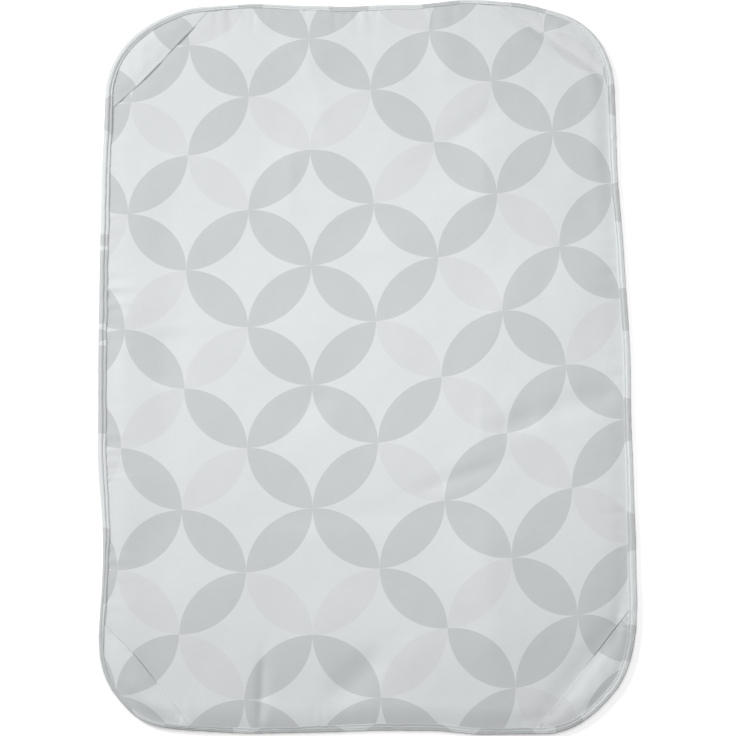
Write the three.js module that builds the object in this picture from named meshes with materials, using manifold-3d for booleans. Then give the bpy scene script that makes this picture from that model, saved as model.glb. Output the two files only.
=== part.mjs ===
// Ironing blanket: a soft laminate of printed cotton, felt, metallised sheet and woven backing,
// bound round its edge with folded tape, with a double cloth pocket sewn over each corner.
// Millimetres. +Z is up and +Y points to the top end. The origin is on the table under the middle.

import * as THREE from 'three';
import { mergeVertices } from 'three/addons/utils/BufferGeometryUtils.js';
import Module from 'manifold-3d';

const wasm = await Module();
wasm.setup();

// The outline of the bound edge, before it wanders.
const blanketWidth = 690;
const blanketLength = 1000;
const cornerRadius = 132;

// The cloths, sheets and threads, and the least space between two neighbours.
const clothThickness = 0.4;
const foilThickness = 0.3;
const tapeThickness = 0.5;
const pocketThickness = 0.8;
const threadThickness = 0.4;
const layerGap = 0.3;
const tableClearance = 0.1;

// Cuts run this far past what they cut.
const cutOverrun = 200;

// The felt is thick in the middle and pressed thin where the edge is sewn.
const paddingThickness = 6;
const paddingAtSeam = 1;
const crownWidth = 24;
const footWidth = 7;

// The folded tape: how far each leg reaches in from the outline, and where it is sewn.
const tapeOverTop = 10;
const tapeUnderneath = 11;
const seamFromTapeEdge = 2.5;

// The tape steps up over the end of each pocket.
const stepClearance = 4;
const stepWidth = 26;

// Each pocket's two legs, from the blanket's square corner: along its long side and along its end.
const topRightPocket = { alongSide: 127, alongEnd: 163 };
const topLeftPocket = { alongSide: 165, alongEnd: 148 };
const bottomLeftPocket = { alongSide: 159, alongEnd: 130 };
const bottomRightPocket = { alongSide: 168, alongEnd: 144 };

// The sewn edge wanders out and in. These are shares of the largest wander at even steps
// along each straight side, anticlockwise, and at the middle of each rounded corner.
const edgeWander = 10;
const rightWanderShares = [-0.9, -0.35, -0.15, 0.25, 0.15, -0.1, 0.25];
const topWanderShares = [0.05, 0.5, -0.1, -0.2, -0.05, 0.3, 0.05];
const leftWanderShares = [0, 0.2, 0.3, 0.35, 0.2, -0.6, -0.3];
const bottomWanderShares = [-0.55, -0.25, -0.25, -0.3, -0.1, 0.45, 0.45];
const topRightWanderShare = 0.4;
const topLeftWanderShare = -0.2;
const bottomLeftWanderShare = 0.35;
const bottomRightWanderShare = -0.7;

// How finely the outline, the tape's fold and the rounded edge are faceted.
const cornerSteps = 8;
const longSideSteps = 6;
const shortSideSteps = 3;
const foldSteps = 4;
const crownRingShares = [0, 0.13, 0.32, 0.6, 1];

// Heights at the sewn edge, from the table up.
const underThreadBottom = tableClearance;
const tapeBottom = underThreadBottom + threadThickness + layerGap;
const backingAtSeam = tapeBottom + tapeThickness + layerGap;
const reflectiveAtSeam = backingAtSeam + clothThickness + layerGap;
const paddingBottomAtSeam = reflectiveAtSeam + foilThickness + layerGap;
const coverAtSeam = paddingBottomAtSeam + paddingAtSeam + layerGap;
const pocketAtSeam = coverAtSeam + clothThickness + layerGap;
const tapeTop = pocketAtSeam + tapeThickness;
const pocketStep = pocketThickness + layerGap;

// The fold is round, and the layers' cut edges stop just inside it.
const foldRadius = (tapeTop - tapeBottom) / 2;
const layerEdge = foldRadius + layerGap;
const seamInset = tapeOverTop - seamFromTapeEdge;

// The top rises from the tape to the full thickness, and the underside comes down to the table.
const crownStart = tapeOverTop + layerGap;
const crownRise = paddingThickness - paddingAtSeam - backingAtSeam;
const footStart = tapeUnderneath + layerGap;

const halfWidth = blanketWidth / 2;
const halfLength = blanketLength / 2;

// The four corners, anticlockwise from the top right.
const corners = [
  {
    name: 'top_right', toRight: 1, toTop: 1,
    pocket: topRightPocket, wanderShare: topRightWanderShare,
  },
  {
    name: 'top_left', toRight: -1, toTop: 1,
    pocket: topLeftPocket, wanderShare: topLeftWanderShare,
  },
  {
    name: 'bottom_left', toRight: -1, toTop: -1,
    pocket: bottomLeftPocket, wanderShare: bottomLeftWanderShare,
  },
  {
    name: 'bottom_right', toRight: 1, toTop: -1,
    pocket: bottomRightPocket, wanderShare: bottomRightWanderShare,
  },
];

// The straight side that runs into each corner, in the same order: a long side, then an end, and so on.
const sides = [
  { isLong: true, wanderShares: rightWanderShares, steps: longSideSteps },
  { isLong: false, wanderShares: topWanderShares, steps: shortSideSteps },
  { isLong: true, wanderShares: leftWanderShares, steps: longSideSteps },
  { isLong: false, wanderShares: bottomWanderShares, steps: shortSideSteps },
];

// The item at a place in a list that runs round and round.
const roundTo = (list, index) => list[(index + list.length) % list.length];

// How far past the round of a corner its pocket reaches along a side.
function pocketReach({ pocket }, { isLong }) {
  const leg = isLong ? pocket.alongSide : pocket.alongEnd;
  return Math.max(leg - cornerRadius, 0);
}

// A smooth value at a share of the way through a list of evenly spaced values.
function valueAlong(values, share) {
  const place = share * (values.length - 1);
  const before = Math.min(Math.floor(place), values.length - 2);
  const blend = THREE.MathUtils.smoothstep(place - before, 0, 1);
  return THREE.MathUtils.lerp(values[before], values[before + 1], blend);
}

// The middle of the round of a corner.
function arcCentre(corner) {
  return new THREE.Vector2(
    corner.toRight * (halfWidth - cornerRadius),
    corner.toTop * (halfLength - cornerRadius),
  );
}

// A place on the outline: a point of the plain outline, pushed along its outward normal.
function makeStation(plainPoint, normal, wanderShare, underPocket) {
  const point = plainPoint.clone().addScaledVector(normal, edgeWander * wanderShare);
  return { point, normal, underPocket };
}

// The places on the straight side that runs into a corner, closer together where the tape steps
// up over the ends of the two pockets.
function sideStations(index) {
  const side = sides[index];
  const fromCorner = roundTo(corners, index - 1);
  const toCorner = corners[index];
  const normal = new THREE.Vector2(1, 0).rotateAround(new THREE.Vector2(), index * Math.PI / 2);
  const start = arcCentre(fromCorner).addScaledVector(normal, cornerRadius);
  const end = arcCentre(toCorner).addScaledVector(normal, cornerRadius);
  const run = start.distanceTo(end);

  const firstStep = pocketReach(fromCorner, side) + stepClearance;
  const lastStep = run - pocketReach(toCorner, side) - stepClearance;
  const freeStart = firstStep + stepWidth;
  const freeEnd = lastStep - stepWidth;
  const places = [{ along: firstStep, underPocket: true }];
  for (let step = 0; step <= side.steps; step += 1) {
    const along = THREE.MathUtils.lerp(freeStart, freeEnd, step / side.steps);
    places.push({ along, underPocket: false });
  }
  places.push({ along: lastStep, underPocket: true });

  return places.map(({ along, underPocket }) => {
    const share = along / run;
    const point = start.clone().lerp(end, share);
    return makeStation(point, normal, valueAlong(side.wanderShares, share), underPocket);
  });
}

// The places round a corner.
function cornerStations(index) {
  const corner = corners[index];
  const before = sides[index].wanderShares;
  const after = roundTo(sides, index + 1).wanderShares;
  const wanderShares = [before[before.length - 1], corner.wanderShare, after[0]];
  const stations = [];
  for (let step = 0; step <= cornerSteps; step += 1) {
    const share = step / cornerSteps;
    const angle = (index + share) * Math.PI / 2;
    const normal = new THREE.Vector2(Math.cos(angle), Math.sin(angle));
    const point = arcCentre(corner).addScaledVector(normal, cornerRadius);
    stations.push(makeStation(point, normal, valueAlong(wanderShares, share), true));
  }
  return stations;
}

const stations = corners.flatMap((corner, index) => [...sideStations(index), ...cornerStations(index)]);

// The origin is under the middle of the finished outline.
const outlineMiddle = new THREE.Box2()
  .setFromPoints(stations.map(({ point }) => point))
  .getCenter(new THREE.Vector2());
stations.forEach(({ point }) => point.sub(outlineMiddle));

// A ring runs right round the blanket at one distance in from the outline. It has one height, and
// may be lifted where it passes over a pocket.
const ring = (inset, height, liftOverPocket = 0) => ({ inset, height, liftOverPocket });

function ringPoints({ inset, height, liftOverPocket }) {
  return stations.map(({ point, normal, underPocket }) => {
    const place = point.clone().addScaledVector(normal, -inset);
    return new THREE.Vector3(place.x, place.y, height + (underPocket ? liftOverPocket : 0));
  });
}

// Joins rings that follow each other outwards over the top and inwards underneath.
function joinRings(rings, closed) {
  const count = stations.length;
  const positions = rings.flatMap(ringPoints).flatMap((point) => point.toArray());
  const triangles = [];
  const lastRing = closed ? rings.length : rings.length - 1;
  for (let row = 0; row < lastRing; row += 1) {
    const here = row * count;
    const next = ((row + 1) % rings.length) * count;
    for (let column = 0; column < count; column += 1) {
      const beside = (column + 1) % count;
      triangles.push(here + column, next + column, next + beside);
      triangles.push(here + column, next + beside, here + beside);
    }
  }
  return { positions, triangles };
}

function toGeometry({ positions, triangles }) {
  const geometry = new THREE.BufferGeometry();
  geometry.setAttribute('position', new THREE.Float32BufferAttribute(positions, 3));
  geometry.setIndex(triangles);
  geometry.computeVertexNormals();
  return geometry;
}

// A sheet that fills the outline, with a flat middle on both sides. Its rings are listed from the edge in.
function sheetGeometry(topRings, bottomRings) {
  const rings = [...topRings.toReversed(), ...bottomRings];
  const body = joinRings(rings, false);
  const count = stations.length;
  const capOf = (oneRing) => {
    const outline = ringPoints(oneRing).map((point) => new THREE.Vector2(point.x, point.y));
    return THREE.ShapeUtils.triangulateShape(outline, []);
  };
  for (const [a, b, c] of capOf(rings[0])) {
    body.triangles.push(a, b, c);
  }
  const lowest = (rings.length - 1) * count;
  for (const [a, b, c] of capOf(rings[rings.length - 1])) {
    body.triangles.push(lowest + c, lowest + b, lowest + a);
  }
  return toGeometry(body);
}

// The rounded side of everything above the felt: level under the tape, then up in a quarter wave.
function crownedRings(heightAtSeam) {
  const level = ring(layerEdge, heightAtSeam);
  const rise = crownRingShares.map((share) => ring(
    crownStart + crownWidth * share,
    heightAtSeam + crownRise * Math.sin(share * Math.PI / 2),
  ));
  return [level, ...rise];
}

// Everything below the felt: level over the tape's lower leg, then down on to the table.
function footedRings(heightAtSeam) {
  return [
    ring(layerEdge, heightAtSeam),
    ring(footStart, heightAtSeam),
    ring(footStart + footWidth, heightAtSeam - backingAtSeam),
  ];
}

function backingGeometry() {
  return sheetGeometry(footedRings(backingAtSeam + clothThickness), footedRings(backingAtSeam));
}

function reflectiveGeometry() {
  return sheetGeometry(footedRings(reflectiveAtSeam + foilThickness), footedRings(reflectiveAtSeam));
}

function paddingGeometry() {
  return sheetGeometry(
    crownedRings(paddingBottomAtSeam + paddingAtSeam),
    footedRings(paddingBottomAtSeam),
  );
}

function coverGeometry() {
  return sheetGeometry(crownedRings(coverAtSeam + clothThickness), crownedRings(coverAtSeam));
}

// The tape is folded round the cut edges. The outer and inner rounds share the fold's middle.
function bindingGeometry() {
  const upperUnderside = tapeTop - tapeThickness;
  const lowerTopside = tapeBottom + tapeThickness;
  const middleHeight = (tapeTop + tapeBottom) / 2;
  const rings = [ring(tapeOverTop, tapeTop, pocketStep)];
  for (let step = 0; step <= foldSteps; step += 1) {
    const angle = Math.PI * step / foldSteps;
    const upperShare = (1 + Math.cos(angle)) / 2;
    rings.push(ring(
      foldRadius - foldRadius * Math.sin(angle),
      middleHeight + foldRadius * Math.cos(angle),
      pocketStep * upperShare,
    ));
  }
  rings.push(ring(tapeUnderneath, tapeBottom));
  rings.push(ring(tapeUnderneath, lowerTopside));
  rings.push(ring(foldRadius, lowerTopside));
  rings.push(ring(tapeThickness, middleHeight, pocketStep / 2));
  rings.push(ring(foldRadius, upperUnderside, pocketStep));
  rings.push(ring(tapeOverTop, upperUnderside, pocketStep));
  return toGeometry(joinRings(rings, true));
}

// One thread of the lockstitch, as a fine closed loop along the tape.
function threadGeometry(bottomHeight, liftOverPocket) {
  const innerInset = seamInset + threadThickness / 2;
  const outerInset = seamInset - threadThickness / 2;
  const topHeight = bottomHeight + threadThickness;
  return toGeometry(joinRings([
    ring(innerInset, topHeight, liftOverPocket),
    ring(outerInset, topHeight, liftOverPocket),
    ring(outerInset, bottomHeight, liftOverPocket),
    ring(innerInset, bottomHeight, liftOverPocket),
  ], true));
}

function toManifold(geometry) {
  const bare = geometry.clone();
  bare.deleteAttribute('normal');
  bare.deleteAttribute('uv');
  const merged = mergeVertices(bare);
  return new wasm.Manifold(new wasm.Mesh({
    numProp: 3,
    vertProperties: new Float32Array(merged.attributes.position.array),
    triVerts: new Uint32Array(merged.index.array),
  }));
}

function fromManifold(solid) {
  const mesh = solid.getMesh();
  return toGeometry({ positions: mesh.vertProperties, triangles: [...mesh.triVerts] });
}

// The whole top at the pockets' height, which each pocket is cut from, so that it lies on the cover.
function pocketLayer() {
  const topRings = crownedRings(pocketAtSeam + pocketThickness);
  return toManifold(sheetGeometry(topRings, crownedRings(pocketAtSeam)));
}

// Everything beyond a pocket's mouth, as a block with one face along the mouth.
function beyondMouth({ toRight, toTop, pocket }) {
  const square = new THREE.Vector2(toRight * halfWidth, toTop * halfLength).sub(outlineMiddle);
  const onSide = square.clone().sub(new THREE.Vector2(0, toTop * pocket.alongSide));
  const onEnd = square.clone().sub(new THREE.Vector2(toRight * pocket.alongEnd, 0));
  const alongMouth = onEnd.clone().sub(onSide).setLength(cutOverrun);
  const outwards = new THREE.Vector2(toRight * pocket.alongSide, toTop * pocket.alongEnd)
    .setLength(cutOverrun);
  onSide.sub(alongMouth);
  onEnd.add(alongMouth);
  const block = new THREE.ExtrudeGeometry(
    new THREE.Shape([onSide, onEnd, onEnd.clone().add(outwards), onSide.clone().add(outwards)]),
    { depth: cutOverrun, bevelEnabled: false },
  );
  block.translate(0, 0, -cutOverrun / 2);
  return toManifold(block);
}

const printedCotton = { color: 0xdde2e3, roughness: 0.85, metalness: 0 };
const boundCotton = { color: 0xd2d7d9, roughness: 0.85, metalness: 0 };
const whiteFelt = { color: 0xf0efeb, roughness: 1, metalness: 0 };
const metallisedSheet = { color: 0xc9cccd, roughness: 0.35, metalness: 0.9 };
const plainCotton = { color: 0xe9e8e3, roughness: 0.9, metalness: 0 };
const whiteThread = { color: 0xeef1f1, roughness: 0.6, metalness: 0 };

const ironingBlanket = new THREE.Group();

function addPiece(name, geometry, finish) {
  const mesh = new THREE.Mesh(geometry, new THREE.MeshStandardMaterial(finish));
  mesh.name = name;
  ironingBlanket.add(mesh);
}

addPiece('backing', backingGeometry(), plainCotton);
addPiece('heat_reflective_layer', reflectiveGeometry(), metallisedSheet);
addPiece('padding', paddingGeometry(), whiteFelt);
addPiece('top_cover', coverGeometry(), printedCotton);

const layer = pocketLayer();
for (const corner of corners) {
  const pocket = layer.intersect(beyondMouth(corner));
  addPiece(`corner_pocket_${corner.name}`, fromManifold(pocket), printedCotton);
}

addPiece('edge_binding', bindingGeometry(), boundCotton);
addPiece('binding_top_thread', threadGeometry(tapeTop + layerGap, pocketStep), whiteThread);
addPiece('binding_under_thread', threadGeometry(underThreadBottom, 0), whiteThread);

export default ironingBlanket;
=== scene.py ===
import math

import bpy
import numpy as np
from mathutils import Matrix, Vector


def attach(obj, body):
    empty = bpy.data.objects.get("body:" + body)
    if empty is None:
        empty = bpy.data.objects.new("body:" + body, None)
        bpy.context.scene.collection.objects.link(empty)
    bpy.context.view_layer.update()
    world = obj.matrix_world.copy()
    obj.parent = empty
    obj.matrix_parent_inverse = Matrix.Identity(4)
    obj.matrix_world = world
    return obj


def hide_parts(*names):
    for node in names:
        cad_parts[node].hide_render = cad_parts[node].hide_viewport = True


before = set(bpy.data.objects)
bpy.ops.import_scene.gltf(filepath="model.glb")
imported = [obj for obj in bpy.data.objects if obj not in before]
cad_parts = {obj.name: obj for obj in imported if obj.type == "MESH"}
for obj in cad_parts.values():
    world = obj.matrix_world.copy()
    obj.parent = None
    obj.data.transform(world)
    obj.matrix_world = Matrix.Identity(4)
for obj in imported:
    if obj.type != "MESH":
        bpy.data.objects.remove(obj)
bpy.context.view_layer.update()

MM = 0.001

# These repeat the solids' own values, apart from the pocket's step and the crown's start and rise.
BLANKET_WIDTH = 690 * MM
BLANKET_LENGTH = 1000 * MM
CORNER_RADIUS = 132 * MM
CLOTH_THICKNESS = 0.4 * MM
FOIL_THICKNESS = 0.3 * MM
TAPE_THICKNESS = 0.5 * MM
THREAD_THICKNESS = 0.4 * MM
LAYER_GAP = 0.3 * MM
TAPE_BOTTOM = 0.8 * MM
BACKING_AT_SEAM = 1.6 * MM
REFLECTIVE_AT_SEAM = 2.3 * MM
PADDING_BOTTOM_AT_SEAM = 2.9 * MM
PADDING_AT_SEAM = 1 * MM
COVER_AT_SEAM = 4.2 * MM
TAPE_TOP = 5.4 * MM
POCKET_STEP = 0.75 * MM
FOLD_RADIUS = 2.3 * MM
LAYER_EDGE = 2.6 * MM
CROWN_PAST_TAPE = 0.9 * MM
CROWN_WIDTH = 24 * MM
CROWN_RISE = 3.4 * MM
FOOT_START = 11.3 * MM
FOOT_WIDTH = 7 * MM
STEP_CLEARANCE = 4 * MM
STEP_WIDTH = 26 * MM
EDGE_WANDER = 10 * MM

# The four corners, anticlockwise from the top right, with each pocket's legs along its long side
# and along its end, and the share of the largest wander in the middle of its round.
CORNERS = (
    dict(name="top_right", to_right=1, to_top=1, long_leg=127 * MM, end_leg=163 * MM, wander=0.4),
    dict(name="top_left", to_right=-1, to_top=1, long_leg=165 * MM, end_leg=148 * MM, wander=-0.2),
    dict(name="bottom_left", to_right=-1, to_top=-1, long_leg=159 * MM, end_leg=130 * MM, wander=0.35),
    dict(name="bottom_right", to_right=1, to_top=-1, long_leg=168 * MM, end_leg=144 * MM, wander=-0.7),
)
# The side that runs into each corner, in the same order.
SIDES = (
    dict(leg="long_leg", wander=(-0.9, -0.35, -0.15, 0.25, 0.15, -0.1, 0.25)),
    dict(leg="end_leg", wander=(0.05, 0.5, -0.1, -0.2, -0.05, 0.3, 0.05)),
    dict(leg="long_leg", wander=(0, 0.2, 0.3, 0.35, 0.2, -0.6, -0.3)),
    dict(leg="end_leg", wander=(-0.55, -0.25, -0.25, -0.3, -0.1, 0.45, 0.45)),
)

# Where the sewn edge is drawn in further than the solids' outline, or stands out past it: how far round
# anticlockwise from the middle of the bottom right corner, its reach along the edge and its depth, in
# millimetres.
EDGE_PULLS = (
    (65, 45, 2), (130, 35, -2), (840, 60, 1.5), (1000, 45, 6.5), (1145, 45, 2), (1280, 35, 1.5),
    (1525, 50, 3), (1680, 80, 1), (2080, 120, 0.8), (2350, 60, 2), (2515, 35, 3), (2595, 35, 2.5),
    (2895, 50, 1), (3110, 70, -1.6),
)

# How many places each long side and each end has: for the cover, the tape and the hidden layers.
COVER_STEPS = (300, 200)
TAPE_STEPS = (480, 320)
HIDDEN_STEPS = (150, 100)
COVER_INSETS = (2.6, 5.5, 8.5, 10.3, 11.6, 13, 14.6, 16.4, 18.4, 20.6, 23, 25.6, 28.4,
                31.3, 34.3, 37.4, 40.5, 43.6, 46.8, 50, 53.3, 56.6, 60)
HIDDEN_INSETS = (2.6, 6, 11.3, 13.5, 16, 18.3, 21, 25, 29.5, 34.3, 40, 46, 53, 60)


def smoothstep(share):
    share = np.clip(share, 0, 1)
    return share * share * (3 - 2 * share)


def value_along(values, share):
    """A smooth value at a share of the way through evenly spaced values."""
    values = np.asarray(values, float)
    place = np.clip(share, 0, 1) * (len(values) - 1)
    before = np.minimum(place.astype(int), len(values) - 2)
    return values[before] + (values[before + 1] - values[before]) * smoothstep(place - before)


def arc_centre(corner):
    across = BLANKET_WIDTH / 2 - CORNER_RADIUS
    up = BLANKET_LENGTH / 2 - CORNER_RADIUS
    return np.array([corner["to_right"] * across, corner["to_top"] * up])


def outline_quarter(index, count):
    """Places from the middle of one rounded corner to the middle of the next."""
    side = SIDES[index]
    start, end = CORNERS[index - 1], CORNERS[index]
    run = np.linalg.norm(arc_centre(end) - arc_centre(start))
    half_arc = CORNER_RADIUS * math.pi / 4
    on_side = np.arange(count) / count * (run + 2 * half_arc) - half_arc
    in_start = np.clip(on_side / (2 * half_arc), -0.5, 0)
    in_end = np.clip((on_side - run) / (2 * half_arc), 0, 0.5)
    angle = (index + in_start + in_end) * math.pi / 2
    normal = np.stack([np.cos(angle), np.sin(angle)], axis=1)
    share = np.clip(on_side / run, 0, 1)
    centre = arc_centre(start) + (arc_centre(end) - arc_centre(start)) * share[:, None]

    own = side["wander"]
    last, following = SIDES[index - 1]["wander"][-1], SIDES[(index + 1) % 4]["wander"][0]
    wander = np.where(in_start < 0, value_along((last, start["wander"], own[0]), 1 + in_start),
                      value_along(own, share))
    wander = np.where(in_end > 0, value_along((own[-1], end["wander"], following), in_end), wander)
    point = centre + normal * (CORNER_RADIUS + EDGE_WANDER * wander)[:, None]

    from_start = on_side - max(start[side["leg"]] - CORNER_RADIUS, 0)
    from_end = run - on_side - max(end[side["leg"]] - CORNER_RADIUS, 0)
    free = smoothstep((np.minimum(from_start, from_end) - STEP_CLEARANCE) / STEP_WIDTH)
    along = on_side + half_arc
    return point, normal, 1 - free, along, run + 2 * half_arc


def drawn_in(along, length):
    """How far the sewn edge is drawn in, at places round an outline of this length."""
    total = np.zeros(len(along))
    for middle, reach, depth in EDGE_PULLS:
        gap = np.abs(along - middle * MM)
        gap = np.minimum(gap, length - gap)
        total += depth * MM * np.exp(-(gap / (reach * MM)) ** 2)
    return total


class Outline:
    """Places right round the blanket, anticlockwise from the middle of the bottom right corner."""

    def __init__(self, steps):
        self.long, self.short = steps
        parts = [outline_quarter(index, steps[index % 2]) for index in range(4)]
        starts = np.cumsum([0] + [part[4] for part in parts])
        joined = [np.concatenate([part[k] for part in parts]) for k in range(3)]
        self.point, self.normal, self.lift = joined
        self.along = np.concatenate([part[3] + start for part, start in zip(parts, starts)])
        self.length = starts[-1]
        self.count = len(self.along)
        self.solids_point = self.point
        self.point = self.point - self.normal * drawn_in(self.along, self.length)[:, None]

    def inset(self, distance):
        return self.point - self.normal * distance


cover_outline = Outline(COVER_STEPS)
tape_outline = Outline(TAPE_STEPS)
hidden_outline = Outline(HIDDEN_STEPS)
MIDDLE = (tape_outline.solids_point.min(axis=0) + tape_outline.solids_point.max(axis=0)) / 2
PERIMETER = tape_outline.length

draws = np.random.RandomState(7)


def waves_along(shortest, longest, count=36):
    """A random ripple along the outline, closed on itself, with a root mean square of 1."""
    turns = draws.randint(int(PERIMETER / longest), int(PERIMETER / shortest) + 1, count)
    phases = draws.uniform(0, 2 * math.pi, count)

    def ripple(along):
        angles = 2 * math.pi * np.multiply.outer(along / PERIMETER, turns) + phases
        return np.cos(angles).sum(axis=-1) * math.sqrt(2 / count)

    return ripple


def waves_across(shortest, longest, count=30):
    """A random relief over the blanket, with a root mean square of 1."""
    lengths = draws.uniform(shortest, longest, count)
    headings = draws.uniform(0, math.pi, count)
    phases = draws.uniform(0, 2 * math.pi, count)

    def relief(x, y):
        total = np.zeros(np.shape(x))
        for length, heading, phase in zip(lengths, headings, phases):
            place = x * math.cos(heading) + y * math.sin(heading)
            total += np.cos(2 * math.pi * place / length + phase)
        return total * math.sqrt(2 / count)

    return relief


slow_relief = waves_across(90 * MM, 260 * MM)
fine_relief = waves_across(22 * MM, 60 * MM)
pucker_ripple = waves_along(6 * MM, 16 * MM)
tuck_ripple = waves_along(18 * MM, 50 * MM)
pucker_strength = waves_along(90 * MM, 400 * MM)
SLOW_RELIEF = 0.45 * MM
FINE_RELIEF = 0.06 * MM
PUCKER_HEIGHT = 0.16 * MM
TUCK_HEIGHT = 0.22 * MM
PUCKER_REACH = 11 * MM
DEEPEST_PUCKER = 0.65 * MM
TUCK_REACH = 22 * MM
INNERMOST_RING = COVER_INSETS[-1] * MM
TUCK_CREST = 8 * MM
PUCKER_END_SHARE = 0.6
SLOW_FADE_IN = 50 * MM
FOLD_FADE_IN = 24 * MM
DIP_FADE_IN = 14 * MM

# Creases in the cover: the two ends, how wide and how high, all in millimetres. A valley is negative.
CREASES = (
    (-134.5, -399, -139.5, -496, 4, -1.1),
    (-345, -67, -306, -68, 2.6, -0.4),
    (-344, -160, -306, -160, 2.6, -0.4),
    (-143, 500, -143, 466, 2.4, -0.5),
    (-120, 500, -120, 478, 2.2, 0.4),
    (-73, 500, -74, 480, 2.4, -0.45),
    (-40, 500, -40, 480, 2.4, 0.4),
    (-31, 490, -31, 460, 3, -0.5),
    (104, 500, 102, 452, 3.4, -0.6),
    (-77, -465, -79, -496, 2.2, 0.35),
    (-66, -470, -67, -496, 2, 0.35),
    (-56, -466, -56, -496, 2.2, 0.35),
    (-352, 42, -322, 43, 2.2, -0.35),
    (-352, 19, -326, 19, 2, -0.3),
)

# Broad folds in cover and felt together, written the same way.
FOLDS = (
    (-133.5, -399, -138.5, -496, 9, -1.9),
    (338, 440, 338, 225, 32, 2),
    (-55, -465, 20, -395, 19, -2.6),
    (60, -194, 175, -155, 11, -1.6),
    (-140, -225, 60, -219, 16, -0.9),
    (165, -113, 225, -93, 15, -2),
    (225, -93, 340, -58, 18, -2),
    (-100, -110, -45, -48, 20, -1.2),
    (112, 288, 190, 345, 13, -1.2),
    (-256, 40, -256, -50, 28, -2.6),
    (-318, 25, -312, -55, 22, 1.4),
    (-262, 230, -262, 60, 25, -1),
    (-268, -60, -268, -430, 30, -1.3),
    (-60, 125, 80, 160, 22, 1),
    (165, 20, 230, 130, 30, 1.6),
    (112, 470, 125, 380, 25, 1.6),
    (-180, 455, 230, 455, 25, -0.8),
)

# Lines where the blanket was once folded: sharp ridges with long slopes on both sides.
FOLD_LINES = (
    (150, -215, 151, -440, 55, 3.2),
    (151, -82, 149, -126, 10, 1),
    (163, 292, 165, 190, 34, 2.2),
    (-94, 292, -97, 180, 26, 1.6),
    (-76, 435, -46, 312, 22, 1.3),
)
FOLD_TAIL = 2.2
FOLD_END_SHARE = 0.35
CREST_ROUNDING = 0.12


def folded(x, y, folds, profile):
    """The relief of straight folds that die out past their ends."""
    total = np.zeros(np.shape(x))
    for x0, y0, x1, y1, width, height in folds:
        run_x, run_y = (x1 - x0) * MM, (y1 - y0) * MM
        run = math.hypot(run_x, run_y)
        from_x, from_y = x - x0 * MM, y - y0 * MM
        share = (from_x * run_x + from_y * run_y) / run ** 2
        across = (from_x * run_y - from_y * run_x) / run
        past = np.maximum(np.abs(share - 0.5) - 0.5, 0) * run
        from_end = 1 - np.abs(2 * share - 1)
        end_share = FOLD_END_SHARE + (1 - FOLD_END_SHARE) * smoothstep(2 * from_end)
        taper = np.exp(-(past / (FOLD_TAIL * width * MM)) ** 2) * end_share
        total += height * MM * profile(across / (width * MM)) * taper
    return total


def rounded_fold(across):
    return np.exp(-across ** 2)


def sharp_fold(across):
    return np.exp(CREST_ROUNDING - np.hypot(across, CREST_ROUNDING))


def crease_relief(x, y):
    return folded(x, y, CREASES, rounded_fold)


def fold_relief(x, y):
    return folded(x, y, FOLDS, rounded_fold) + folded(x, y, FOLD_LINES, sharp_fold)


# The pockets, each list of values at even steps from the long side to the end, in millimetres: how far
# the mouth is bowed towards the corner, how far it stands off the cover, how deep the cover dips along
# it, and how deep a narrow valley lies in the cover right beside it. A negative valley is a ridge. The
# shift is how far the pocket's print lies from the cover's, ply how thick the folded edge is, puff how
# far the pocket stands up behind its mouth, within puff_depth, and dip_width how wide the dip is outside
# and under the pocket.
POCKET_DETAIL = {
    "top_right": dict(
        shift=(-2, -14), bow=(0.5, 3, 3.6, 2.8, 2.6, 2.8, 2.5, 0), puff=0.8,
        lift=(0, 0.4, 0.5, 0.5, 0.6, 0.5, 0.3, 0.2, 0.2, 0.2, 0), dip=(1.6, 2.8, 2.8, 2.4, 1.8, 1.6),
        dip_width=(8, 12), ply=0.6, puff_depth=10, valley=(0, 0)),
    "top_left": dict(
        shift=(18.9, -19.9), bow=(3, 2.6, 0.8, -1, -1.4, -1.6, -0.3, -0.2, -0.4, 1.2, 1.5), puff=0.7,
        lift=(0, 0.6, 0.6, 0, 0.4, 1, 0.9, 0.1, 0.4, 1.1, 0.8, 0, 0, 0), dip=(0.6, 0.6),
        dip_width=(7, 16), ply=0.3, puff_depth=16, valley=(0, 0)),
    "bottom_left": dict(
        shift=(2.8, -1.4), bow=(2.5, 1.8, 0.4, -1.6, -2.2, -1.8, -1.4, -1.3, -0.2, 1.2, 2), puff=2.2,
        lift=(0, 0.35, 0.4, 0.9, 1.5, 1.5, 0.6, 0.4, 0.4, 0.4, 0), dip=(1.2, 1.2, 1.2, 1.6, 1.6, 0.4),
        dip_width=(9, 12), ply=0.3, puff_depth=20,
        valley=(0, 0.55, 0.6, 0.6, 0.9, 0.9, 0.2, -0.6, -0.7, -0.6, 0)),
    "bottom_right": dict(
        shift=(-0.7, 11.6), bow=(0, 0.8, 1.7, 2, 2.4, 0.8), puff=1,
        lift=(0, 1.2, 1.6, 1.5, 0.3, 0, 0, 0, 0, 0, 0), dip=(2, 3, 3, 1.2),
        dip_width=(18, 20), ply=0.3, puff_depth=16, valley=(0, 0.8, 1.3, 1.3, 1.2, 0.3, 0, 0, 0, 0, 0)),
}
PRESSED_PLY = 0.06 * MM
OPEN_LIFT = 0.6 * MM
VALLEY_WIDTH = 0.9 * MM
VALLEY_REACH = 6 * MM
TUCK_SINK = 0.5 * MM
TUCK_START = 1.5 * MM
TUCK_WIDTH = 8 * MM


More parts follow.
